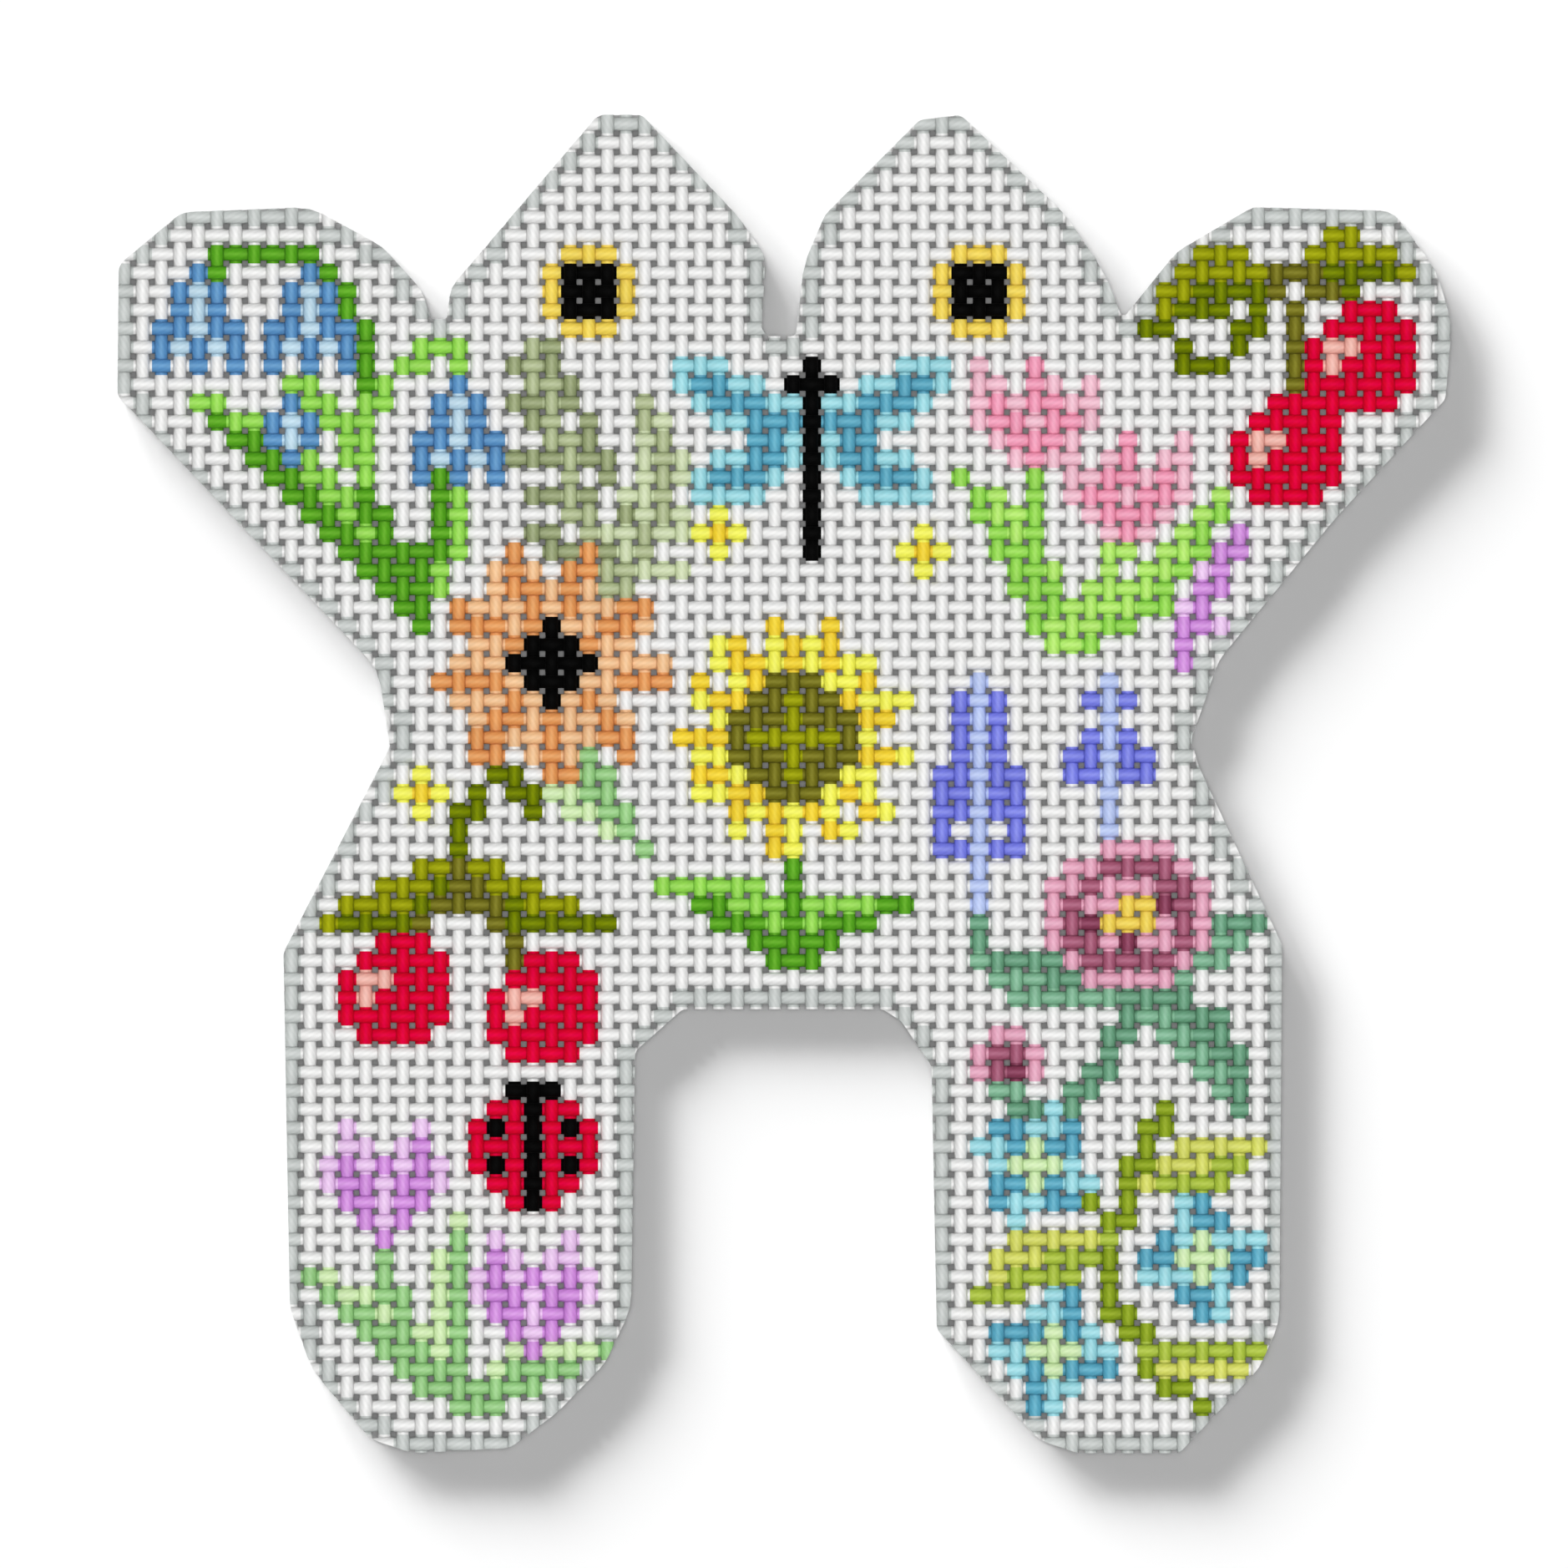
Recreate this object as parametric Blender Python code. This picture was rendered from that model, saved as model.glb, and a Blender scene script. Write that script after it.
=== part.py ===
"""Needlepoint canvas panel: one flat piece of painted cotton canvas, cut out and ready to be stitched.

The canvas is an even plain weave with 18 threads to the inch, and the piece is 72 threads wide and 72
threads high, which is 4 by 4 inches. It is cut to the pattern of a small animal seen from above: two
pointed lobes for the brow with a narrow dart between them, two hands held up to the sides, a waist and
two legs. It lies flat with its painted face up. Its origin is the middle of its underside, +Y runs
towards the brow and +Z out of the painted face.
"""

import math

import bpy
from mathutils import Vector

MM = 0.001
INCH = 25.4 * MM

# The weave that sizes the panel: the outline fills this many threads each way.
THREADS_PER_INCH = 18
THREADS_EACH_WAY = 72
THREAD_PITCH = INCH / THREADS_PER_INCH
HALF_HEIGHT = THREADS_EACH_WAY * THREAD_PITCH / 2

# Two painted threads, one over the other, at every crossing.
SHEET_THICKNESS = 1.2 * MM

# An arc at a corner is split into steps of at most this angle.
ARC_STEP = math.radians(18)

# The cut, clockwise from the left hand with the painted face up. Each row is one snip of the scissors:
# (across, up, radius) in millimetres from the panel's middle, where radius rounds that corner.
TOP = HALF_HEIGHT / MM
CROTCH = -17.1
LEFT_HAND = (
    (-50.6, 29.5, 0.8),
    (-50.5, 39.4, 1.2),
    (-45.7, 43.4, 2.0),
    (-36.0, 43.8, 4.0),
    (-30.5, 40.8, 4.0),
    (-27.5, 37.5, 3.0),
    (-26.8, 35.3, 0.3),
)
LEFT_BROW = (
    (-25.6, 35.3, 0.3),
    (-25.3, 37.7, 2.5),
    (-22.8, 40.6, 6.0),
    (-14.1, TOP, 0.9),
    (-10.8, TOP, 0.9),
    (-3.4, 43.0, 8.0),
    (-1.4, 40.0, 2.0),
)
BROW_DART = (
    (-1.7, 34.6, 0.4),
    (-1.3, 34.0, 0.3),
    (0.9, 34.0, 0.4),
)
RIGHT_BROW = (
    (1.5, 39.4, 5.0),
    (3.1, 43.2, 2.5),
    (10.3, 50.4, 1.0),
    (13.4, TOP, 0.9),
    (21.3, 43.3, 6.0),
    (24.3, 38.9, 8.0),
    (25.7, 35.3, 0.3),
)
RIGHT_HAND = (
    (29.8, 40.4, 4.0),
    (35.6, 43.8, 1.5),
    (46.2, 43.5, 2.0),
    (49.5, 39.0, 6.0),
    (50.7, 34.9, 6.0),
    (50.2, 29.2, 1.0),
    (41.8, 20.1, 20.0),
)
RIGHT_WAIST = (
    (33.0, 9.4, 4.0),
    (31.8, 5.9, 3.0),
    (30.9, 3.4, 1.2),
    (31.5, 1.3, 2.0),
)
RIGHT_LEG = (
    (37.8, -12.2, 1.2),
    (37.6, -40.9, 5.0),
    (36.1, -44.3, 4.0),
    (30.0, -TOP, 0.8),
    (22.3, -TOP, 2.0),
    (19.4, -49.8, 2.0),
    (11.6, -41.4, 1.0),
    (11.2, -21.4, 1.0),
    (8.9, -18.0, 1.5),
    (7.5, CROTCH, 0.8),
)
LEFT_LEG = (
    (-7.7, CROTCH, 0.8),
    (-11.3, -20.3, 0.8),
    (-11.6, -39.8, 5.0),
    (-13.6, -44.0, 4.0),
    (-17.2, -47.7, 6.0),
    (-20.8, -50.4, 1.5),
    (-28.2, -TOP, 3.0),
    (-31.4, -49.7, 2.0),
    (-35.8, -44.5, 6.0),
    (-37.5, -39.8, 4.0),
    (-38.0, -12.8, 1.0),
)
LEFT_WAIST = (
    (-29.9, 2.8, 1.0),
    (-30.8, 8.7, 4.0),
)
OUTLINE = (
    LEFT_HAND + LEFT_BROW + BROW_DART + RIGHT_BROW + RIGHT_HAND
    + RIGHT_WAIST + RIGHT_LEG + LEFT_LEG + LEFT_WAIST
)

CANVAS_WHITE = (0.90, 0.90, 0.89, 1.0)
CANVAS_ROUGHNESS = 0.85


def clear_scene() -> None:
    """Remove every object, so that the panel is the only thing in the file."""
    for obj in list(bpy.data.objects):
        bpy.data.objects.remove(obj, do_unlink=True)


def corner_arc(before: Vector, corner: Vector, after: Vector, radius: float) -> list[Vector]:
    """Round one corner of the outline with an arc that touches both of its edges.

    Args:
        before: The corner before this one.
        corner: The corner to round.
        after: The corner after this one.
        radius: The arc's radius. It shrinks where an edge is too short for it.

    Returns:
        The arc's points, in order.
    """
    edge_in = before - corner
    edge_out = after - corner
    opening = edge_in.angle(edge_out)
    longest_tangent = min(edge_in.length, edge_out.length) / 2
    tangent = min(radius / math.tan(opening / 2), longest_tangent)
    radius = tangent * math.tan(opening / 2)
    towards_centre = (edge_in.normalized() + edge_out.normalized()).normalized()
    centre = corner + towards_centre * math.hypot(radius, tangent)
    start = corner + edge_in.normalized() * tangent - centre
    end = corner + edge_out.normalized() * tangent - centre
    turn = start.angle_signed(end)
    steps = max(1, math.ceil(abs(turn) / ARC_STEP))
    arc = []
    for step in range(steps + 1):
        angle = -turn * step / steps
        cosine, sine = math.cos(angle), math.sin(angle)
        arc.append(centre + Vector((start.x * cosine - start.y * sine, start.x * sine + start.y * cosine)))
    return arc


def cut_line(corners: tuple[tuple[float, float, float], ...]) -> list[Vector]:
    """Turn the table of corners into the cut's points, in metres, with every corner rounded."""
    places = [Vector((across, up)) * MM for across, up, _ in corners]
    points = []
    for index, (_, _, radius) in enumerate(corners):
        after = places[(index + 1) % len(places)]
        points.extend(corner_arc(places[index - 1], places[index], after, radius * MM))
    return points


def canvas_material() -> bpy.types.Material:
    """Make the matt off-white of sized cotton canvas."""
    material = bpy.data.materials.new("sized_cotton_canvas")
    material.use_nodes = True
    shader = material.node_tree.nodes["Principled BSDF"]
    shader.inputs["Base Color"].default_value = CANVAS_WHITE
    shader.inputs["Roughness"].default_value = CANVAS_ROUGHNESS
    shader.inputs["Metallic"].default_value = 0.0
    return material


def make_canvas_panel(collection: bpy.types.Collection) -> bpy.types.Object:
    """Make the panel: the cut outline, filled and given the canvas's thickness, resting on z = 0."""
    curve = bpy.data.curves.new("canvas_panel", "CURVE")
    curve.dimensions = "2D"
    curve.fill_mode = "BOTH"
    curve.extrude = SHEET_THICKNESS / 2
    curve.render_resolution_u = 0
    points = cut_line(OUTLINE)
    spline = curve.splines.new("POLY")
    spline.points.add(len(points) - 1)
    for spline_point, point in zip(spline.points, points):
        spline_point.co = (point.x, point.y, 0.0, 1.0)
    spline.use_cyclic_u = True
    curve.materials.append(canvas_material())

    panel = bpy.data.objects.new("canvas_panel", curve)
    panel.location.z = SHEET_THICKNESS / 2
    collection.objects.link(panel)
    return panel


def main() -> None:
    """Build the needlepoint canvas panel in a collection of its own."""
    clear_scene()
    collection = bpy.data.collections.new("needlepoint_canvas_panel")
    bpy.context.scene.collection.children.link(collection)
    make_canvas_panel(collection)


main()
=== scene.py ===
"""Looks of the needlepoint canvas panel: cotton threads in a plain weave, cut out and painted by hand.

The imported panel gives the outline, the thickness and the place. This script weaves 72 warp and 72 weft
threads with Geometry Nodes, cuts both sets along the panel's outline and paints every crossing after a
chart of bells, cherries, ferns, a dragonfly, tulips, a gerbera, a sunflower, lupins, lavender, a rose,
a ladybird, crocuses and speedwells. The chart is drawn here, from small motifs and from formulas for
stems, leaves, fronds and open flowers.
"""

import itertools
import logging
import math
from collections.abc import Callable, Iterator
from dataclasses import dataclass, field
from enum import Enum
from functools import cached_property, partial
from typing import Protocol

import bmesh
import bpy
import numpy as np
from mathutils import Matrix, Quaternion, Vector
from mathutils.bvhtree import BVHTree


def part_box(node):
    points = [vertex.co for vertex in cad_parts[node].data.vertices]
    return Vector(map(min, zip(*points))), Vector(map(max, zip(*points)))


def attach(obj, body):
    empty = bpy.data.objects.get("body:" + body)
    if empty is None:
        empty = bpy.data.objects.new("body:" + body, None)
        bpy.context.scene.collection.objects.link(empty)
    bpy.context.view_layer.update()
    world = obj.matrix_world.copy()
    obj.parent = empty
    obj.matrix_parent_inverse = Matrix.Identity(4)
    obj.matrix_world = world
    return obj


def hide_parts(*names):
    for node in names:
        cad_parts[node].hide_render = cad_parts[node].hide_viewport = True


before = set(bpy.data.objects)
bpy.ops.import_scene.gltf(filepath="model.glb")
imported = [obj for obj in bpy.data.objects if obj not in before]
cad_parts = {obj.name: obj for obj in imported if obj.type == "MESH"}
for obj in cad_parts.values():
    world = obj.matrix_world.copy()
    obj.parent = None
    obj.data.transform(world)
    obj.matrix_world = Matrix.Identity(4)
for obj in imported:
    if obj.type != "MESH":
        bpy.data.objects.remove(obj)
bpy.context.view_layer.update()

MM = 0.001
PANEL_NODE = "canvas_panel"
BODY = "root"
THREADS_EACH_WAY = 72
PHOTO_WIDTH_IN_PITCHES = 84.33

Spot = tuple[int, int, "Paint"]
Place = tuple[float, float]
Range = tuple[float, float]
Socket = bpy.types.NodeSocket
Outputs = bpy.types.bpy_prop_collection
Inputs = dict[str | int, object] | tuple
NodeMaker = Callable[..., Outputs]

log = logging.getLogger("canvas_panel")


def linear_colour(hex_colour: str) -> tuple[float, float, float, float]:
    """Turn an sRGB hex colour into the linear one that shaders take.

    Args:
        hex_colour: Six hex digits, red first.

    Returns:
        Linear red, green and blue, and an alpha of 1.
    """
    channels = [int(hex_colour[start:start + 2], 16) / 255 for start in (0, 2, 4)]
    linear = [c / 12.92 if c <= 0.04045 else ((c + 0.055) / 1.055) ** 2.4 for c in channels]
    return (*linear, 1.0)


def feed(tree: bpy.types.NodeTree, node: bpy.types.Node, inputs: Inputs) -> None:
    """Give a node its inputs.

    Args:
        tree: The tree that the node is in.
        node: The node.
        inputs: A value, or the output or list of outputs to link from, for each input by name or number,
            or just in order.
    """
    for key, given in inputs.items() if isinstance(inputs, dict) else enumerate(inputs):
        for source in given if isinstance(given, list) else (given,):
            if isinstance(source, Socket):
                tree.links.new(source, node.inputs[key])
            else:
                node.inputs[key].default_value = source


def add_node(tree: bpy.types.NodeTree, kind: str, inputs: Inputs = (), **settings: object) -> Outputs:
    """Add a node to a tree, with its settings and its links.

    Args:
        tree: The tree that the node goes into.
        kind: The node's type name.
        inputs: What the node is fed.
        settings: Values for the node's own properties, by name.

    Returns:
        The new node's outputs.
    """
    node = tree.nodes.new(kind)
    for name, value in settings.items():
        setattr(node, name, value)
    feed(tree, node, inputs)
    return node.outputs


def read_values(
    items: bpy.types.bpy_prop_collection, name: str, kind: type, width: int = 1
) -> np.ndarray:
    """Read one property of all of a mesh's vertices, corners or faces.

    Args:
        items: The vertices, corners or faces.
        name: The property's name.
        kind: The kind of number in it.
        width: How many numbers it has for each item.

    Returns:
        The numbers, in rows where each item has several.
    """
    values = np.empty(len(items) * width, kind)
    items.foreach_get(name, values)
    return values.reshape(-1, width) if width > 1 else values


class Paint(Enum):
    """The acrylic paints on the canvas, with their sRGB colours."""

    LINE_GREY = "D3D7D5"
    CHERRY_RED = "E60042"
    CHERRY_SHINE = "F7C4B9"
    OLIVE = "A7AC12"
    DARK_OLIVE = "7E8E00"
    BROWN_OLIVE = "86832C"
    LEMON = "F9F96F"
    GOLD = "F7DE6A"
    DEEP_GOLD = "F8DC49"
    SHELL_PINK = "F7CAD9"
    PINK = "F8ACC6"
    ROSE = "EEB6CC"
    MAROON = "B56F89"
    DARK_MAROON = "98516C"
    PALE_PERIWINKLE = "C6D4F9"
    PERIWINKLE = "8D93ED"
    PALE_BLUE = "C9E3F1"
    BLUE = "6FA3D1"
    AQUA = "ADE4EC"
    DEEP_AQUA = "6FB7CE"
    LIME = "BFF07E"
    LEAF_GREEN = "6AB330"
    FRESH_GREEN = "A6E468"
    STRAW_GREEN = "E1E57B"
    YELLOW_GREEN = "B9CE56"
    MOSS_GREEN = "9BB232"
    SAGE = "BFCAA2"
    DARK_SAGE = "A8B38A"
    PALE_SAGE = "D9E4C0"
    PALE_GREEN = "DBF2C1"
    MID_GREEN = "A8D898"
    SEA_GREEN = "94C6A7"
    DEEP_SEA_GREEN = "7FB294"
    APRICOT = "F6CCA0"
    ORANGE = "ECAA6E"
    LILAC = "F3D3F7"
    MAUVE = "DDA1E8"
    BLACK = "020202"


PAINT_OF_LETTER = {
    "a": Paint.AQUA,
    "A": Paint.DEEP_AQUA,
    "b": Paint.CHERRY_SHINE,
    "B": Paint.BLUE,
    "c": Paint.PALE_BLUE,
    "d": Paint.DEEP_GOLD,
    "g": Paint.GOLD,
    "h": Paint.SEA_GREEN,
    "i": Paint.LILAC,
    "I": Paint.MAUVE,
    "k": Paint.BLACK,
    "m": Paint.MAROON,
    "M": Paint.DARK_MAROON,
    "p": Paint.SHELL_PINK,
    "P": Paint.PINK,
    "q": Paint.ROSE,
    "r": Paint.CHERRY_RED,
    "y": Paint.LEMON,
}
CHERRY = (
    "..rrr.",
    ".rrrrr",
    "rbbrrr",
    "rbrrrr",
    "rrrrrr",
    ".rrrr.",
)
BELL = (
    "..B..",
    ".BcB.",
    ".BcB.",
    "BBcBB",
    "BcBcB",
    "B.B.B",
)
BELL_BUD = (
    ".B.",
    "BcB",
    "BcB",
    ".B.",
)
TULIP = (
    "p..P...",
    "pp.Pp.p",
    "pPpPPpp",
    "pPPpPPp",
    ".pPPPp.",
    "..pPp..",
)
ROSE = (
    "...qqqq..",
    ".qqmmmmq.",
    "qqmqqqmmq",
    "qmqqggMmq",
    "qmMgggqmq",
    "qmmqMqqmq",
    ".qmmmmmq.",
    "..qqqqq..",
)
ROSEBUD = (
    ".qq.",
    "qmmq",
    "qmMq",
    ".hh.",
)
CROCUS = (
    ".i...i.",
    ".ii.iI.",
    "iIiIiIi",
    "iIIiIIi",
    ".IIiII.",
    "..IiI..",
    "...I...",
)
BUTTON_FLOWER = (
    ".y.",
    "ydy",
    ".y.",
)
DRAGONFLY = (
    "aaa....k....aaa",
    "aAAaa.kkk.aaAAa",
    ".aAAAaakaaAAAa.",
    "..aaAAAkAAAaa..",
    "....AAakaAA....",
    "..aaAAakaAAaa..",
    ".aAAAa.k.aAAAa.",
    ".aaaa..k..aaaa.",
    ".......k.......",
    ".......k.......",
    ".......k.......",
)
LADYBIRD = (
    "..kkk..",
    ".rrkrr.",
    "rkrkrkr",
    "rrrkrrr",
    "rkrkrkr",
    ".rrkrr.",
    "..rkr..",
)
EYE = (
    ".ggg.",
    "gkkkg",
    "gkkkg",
    "gkkkg",
    ".ggg.",
)


class Shape(Protocol):
    """Anything that can be painted on the canvas, because it knows the crossings that it covers."""

    def spots(self) -> Iterator[Spot]:
        """Give each crossing that the shape covers, with its paint."""


@dataclass(frozen=True)
class Motif:
    """A small picture, charted as a letter for each painted crossing and a dot for a bare one.

    The row and column are those of its top left corner. It may be turned over from left to right.
    """

    picture: tuple[str, ...]
    row: int
    column: int
    flipped: bool = False

    def spots(self) -> Iterator[Spot]:
        """Go through the picture's letters.

        Returns:
            The painted crossings.
        """
        for down, letters in enumerate(self.picture):
            for across, letter in enumerate(reversed(letters) if self.flipped else letters):
                if letter != ".":
                    yield self.row + down, self.column + across, PAINT_OF_LETTER[letter]


@dataclass(frozen=True)
class Stem:
    """A line of single crossings, drawn smoothly through its knots, which are (row, column) places."""

    paint: Paint
    knots: tuple[Place, ...]
    steps_per_crossing: int = 6

    def path(self) -> Iterator[Place]:
        """Follow a Catmull-Rom curve through the knots in steps well under one crossing.

        Returns:
            The places passed, in order.
        """
        knots = [np.array(knot, float) for knot in (self.knots[0], *self.knots, self.knots[-1])]
        for before, start, end, after in zip(knots, knots[1:], knots[2:], knots[3:]):
            steps = self.steps_per_crossing * max(1, math.ceil(float(np.abs(end - start).max())))
            for step in range(steps + 1):
                t = step / steps
                place = start + 0.5 * t * (
                    (end - before)
                    + t * (2 * before - 5 * start + 4 * end - after)
                    + t * t * (3 * (start - end) + after - before)
                )
                yield float(place[0]), float(place[1])

    def spots(self) -> Iterator[Spot]:
        """Give the crossings that the line runs over."""
        for row, column in self.path():
            yield round(row), round(column), self.paint


def crossings_near(centre: Place, reach: float) -> Iterator[tuple[int, int]]:
    """Go through the square of crossings round a place, row by row.

    Args:
        centre: The place.
        reach: How far the square reaches from it, in crossings.

    Returns:
        Each crossing's row and column.
    """
    far = math.ceil(reach)
    for down, across in itertools.product(range(-far, far + 1), repeat=2):
        yield round(centre[0]) + down, round(centre[1]) + across


@dataclass(frozen=True)
class Leaf:
    """A pointed leaf from its base to its tip, light along one side of its rib and dark along the other.

    The bend is how far its rib swings aside. A fullness under 1 puts the leaf's broadest place nearer its
    base than its tip, and the end margin is a share of its length.
    """

    base: Place
    tip: Place
    width: float
    light: Paint
    dark: Paint
    bend: float = 0.0
    fullness: float = 0.8
    end_half_width: float = 0.42
    end_margin: float = 0.02

    def spots(self) -> Iterator[Spot]:
        """Measure each crossing nearby along the rib and aside from it.

        Returns:
            The crossings that the leaf covers.
        """
        base = np.array(self.base, float)
        rib = np.array(self.tip, float) - base
        length = float(np.hypot(*rib))
        for row, column in crossings_near(self.base, length + self.width):
            out = np.array((row, column), float) - base
            along = float(out @ rib) / length**2
            if not -self.end_margin <= along <= 1 + self.end_margin:
                continue
            aside = float(rib[0] * out[1] - rib[1] * out[0]) / length
            aside -= 4 * self.bend * along * (1 - along)
            swell = math.sin(math.pi * min(max(along, 0), 1) ** self.fullness)
            if abs(aside) <= self.end_half_width + (self.width / 2 - self.end_half_width) * swell:
                yield row, column, self.light if aside < 0 else self.dark


class PetalShade(Enum):
    """Where a petal is painted dark: along one half, or along its rib."""

    HALF = "half"
    RIB = "rib"


@dataclass(frozen=True)
class Bloom:
    """An open flower seen from above, with petals round a heart.

    The turn is in petals, and so is the rib's half width. The notch is the share of the radius that a
    petal loses at its sides.
    """

    centre: Place
    radius: float
    petals: int
    turn: float
    light: Paint
    dark: Paint
    heart: Paint
    heart_radius: float = 1.1
    shade: PetalShade = PetalShade.HALF
    notch: float = 0.38
    rib_half_width: float = 0.2

    def spots(self) -> Iterator[Spot]:
        """Measure each crossing nearby outwards from the heart and aside from its petal's rib.

        Returns:
            The crossings of the petals and the heart.
        """
        for row, column in crossings_near(self.centre, self.radius):
            down, across = row - self.centre[0], column - self.centre[1]
            out = math.hypot(down, across)
            swing = (math.atan2(down, across) / math.tau * self.petals + self.turn) % 1 - 0.5
            if out <= self.heart_radius:
                yield row, column, self.heart
            elif out <= self.radius * (1 - self.notch * (2 * swing) ** 2):
                yield row, column, self.dark if self.is_dark(swing) else self.light

    def is_dark(self, swing: float) -> bool:
        """Tell whether a petal is dark at a turn from its rib, which runs from -0.5 to 0.5."""
        return swing > 0 if self.shade is PetalShade.HALF else abs(swing) < self.rib_half_width


@dataclass(frozen=True)
class Frond:
    """A frond or a flower spike: a rib with slanted leaflets, long at its base and short at its tip.

    The taper is the share of their reach that leaflets lose from the base to the tip, and the slant is how
    far they lean forward for each step outward.
    """

    rib: Stem
    leaflet: Paint
    reach: float
    spacing: float = 2.0
    taper: float = 0.75
    slant: float = 0.75
    bare_tip: float = 0.5
    steps_to_look: int = 4

    def spots(self) -> Iterator[Spot]:
        """Draw the leaflets in pairs, and the rib over them.

        Returns:
            Their crossings.
        """
        path = np.array(list(self.rib.path()))
        travelled = np.concatenate(([0.0], np.cumsum(np.hypot(*np.diff(path, axis=0).T))))
        for distance in np.arange(self.spacing, travelled[-1] - self.bare_tip, self.spacing):
            index = int(np.searchsorted(travelled, distance))
            further = min(index + self.steps_to_look, len(path) - 1)
            ahead = path[further] - path[max(index - self.steps_to_look, 0)]
            ahead /= np.hypot(*ahead)
            length = self.reach * (1 - self.taper * distance / travelled[-1])
            for side in (-1, 1):
                outward = self.slant * ahead + side * np.array((-ahead[1], ahead[0]))
                end = path[index] + outward / np.hypot(*outward) * length
                yield from Stem(self.leaflet, (tuple(path[index]), tuple(end))).spots()
        yield from self.rib.spots()


@dataclass
class PaintedDesign:
    """The chart of the painting: the paint of each painted crossing, by its row and column."""

    chart: dict[tuple[int, int], Paint] = field(default_factory=dict)

    def lay(self, *shapes: Shape) -> None:
        """Paint shapes over what is there, each over the one before it.

        Args:
            shapes: The shapes.
        """
        for shape in shapes:
            for row, column, paint in shape.spots():
                self.chart[row, column] = paint

    def draw_line_along_cut(self, inside: np.ndarray) -> None:
        """Paint the grey line that tells where to stop stitching.

        Args:
            inside: For each row and column, whether the crossing lies inside the cut.
        """
        padded = np.pad(inside, 1)
        surrounded = padded[:-2, 1:-1] & padded[2:, 1:-1] & padded[1:-1, :-2] & padded[1:-1, 2:]
        for row, column in np.argwhere(inside & ~surrounded):
            self.chart[int(row), int(column)] = Paint.LINE_GREY

    def draw_hands(self) -> None:
        """Paint bells on arching stems over the left hand, and cherries on a twig over the right one."""
        self.lay(
            Leaf((27, 16), (15, 4), 2.8, Paint.FRESH_GREEN, Paint.LEAF_GREEN, bend=-1.2),
            Leaf((26, 16), (17, 17), 2.2, Paint.FRESH_GREEN, Paint.LEAF_GREEN, bend=-0.8),
            Stem(Paint.LEAF_GREEN, ((26, 16), (19, 13), (12, 13), (7, 10), (7, 6), (8, 4))),
            Stem(Paint.FRESH_GREEN, ((18, 13), (14, 14), (12, 17), (13, 18))),
            Stem(Paint.FRESH_GREEN, ((19, 13), (15, 11), (14, 9))),
            Motif(BELL, 8, 2),
            Motif(BELL, 8, 8),
            Motif(BELL, 14, 16),
            Motif(BELL_BUD, 15, 8),
        )
        self.lay(
            Leaf((8, 62), (11, 55), 3.6, Paint.OLIVE, Paint.DARK_OLIVE, bend=-0.8),
            Leaf((8, 63), (8, 69), 3.4, Paint.DARK_OLIVE, Paint.OLIVE, bend=0.6),
            Stem(Paint.BROWN_OLIVE, ((8, 62), (12, 63), (16, 62))),
            Stem(Paint.BROWN_OLIVE, ((8, 62), (9, 65), (11, 66))),
            Stem(Paint.DARK_OLIVE, ((9, 61), (12, 60), (13, 58), (12, 57))),
            Motif(CHERRY, 15, 60),
            Motif(CHERRY, 10, 64),
        )

    def draw_brow(self) -> None:
        """Paint fronds, a dragonfly and tulips below the eyes."""
        self.lay(
            Frond(Stem(Paint.SAGE, ((26, 26), (19, 24), (12, 22))), Paint.DARK_SAGE, 4.4, 2.6),
            Frond(Stem(Paint.SAGE, ((26, 26), (20, 29), (15, 28))), Paint.PALE_SAGE, 3.0, 2.4),
            Leaf((28, 50), (19, 45), 2.8, Paint.LIME, Paint.FRESH_GREEN, bend=-0.9),
            Leaf((28, 51), (20, 59), 2.6, Paint.FRESH_GREEN, Paint.LIME, bend=-0.9),
            Stem(Paint.FRESH_GREEN, ((28, 50), (22, 49), (18, 49))),
            Stem(Paint.LIME, ((28, 50), (24, 53), (21, 54))),
            Motif(DRAGONFLY, 13, 30),
            Motif(TULIP, 13, 46),
            Motif(TULIP, 17, 51, flipped=True),
            Motif(BUTTON_FLOWER, 21, 31),
            Motif(BUTTON_FLOWER, 22, 42),
        )

    def draw_chest(self) -> None:
        """Paint a gerbera, lavender, a sunflower and lupins."""
        self.lay(
            Frond(Stem(Paint.MAUVE, ((29, 57), (26, 58), (22, 60))), Paint.LILAC, 1.6),
            Leaf((33, 22), (39, 28), 3.2, Paint.PALE_GREEN, Paint.MID_GREEN),
            Leaf((45, 36), (41, 29), 3.0, Paint.FRESH_GREEN, Paint.LEAF_GREEN, bend=-1.0),
            Leaf((45, 36), (42, 42), 2.8, Paint.LEAF_GREEN, Paint.FRESH_GREEN, bend=1.0),
            Stem(Paint.LEAF_GREEN, ((45, 36), (38, 36))),
            Stem(Paint.DEEP_SEA_GREEN, ((45, 46), (40, 46))),
            Frond(Stem(Paint.PALE_PERIWINKLE, ((42, 46), (30, 46))), Paint.PERIWINKLE, 3.4),
            Frond(Stem(Paint.PALE_PERIWINKLE, ((38, 53), (30, 53))), Paint.PERIWINKLE, 2.8),
            Bloom((29, 23), 6.5, 9, 0.3, Paint.APRICOT, Paint.ORANGE, Paint.BLACK, 2.1, PetalShade.RIB),
            Bloom((33, 36), 6.6, 13, 0.1, Paint.LEMON, Paint.DEEP_GOLD, Paint.BROWN_OLIVE, 3.2),
            Bloom((33, 36), 2.3, 4, 0.25, Paint.OLIVE, Paint.BROWN_OLIVE, Paint.OLIVE, 0.5, notch=0.0),
        )

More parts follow.
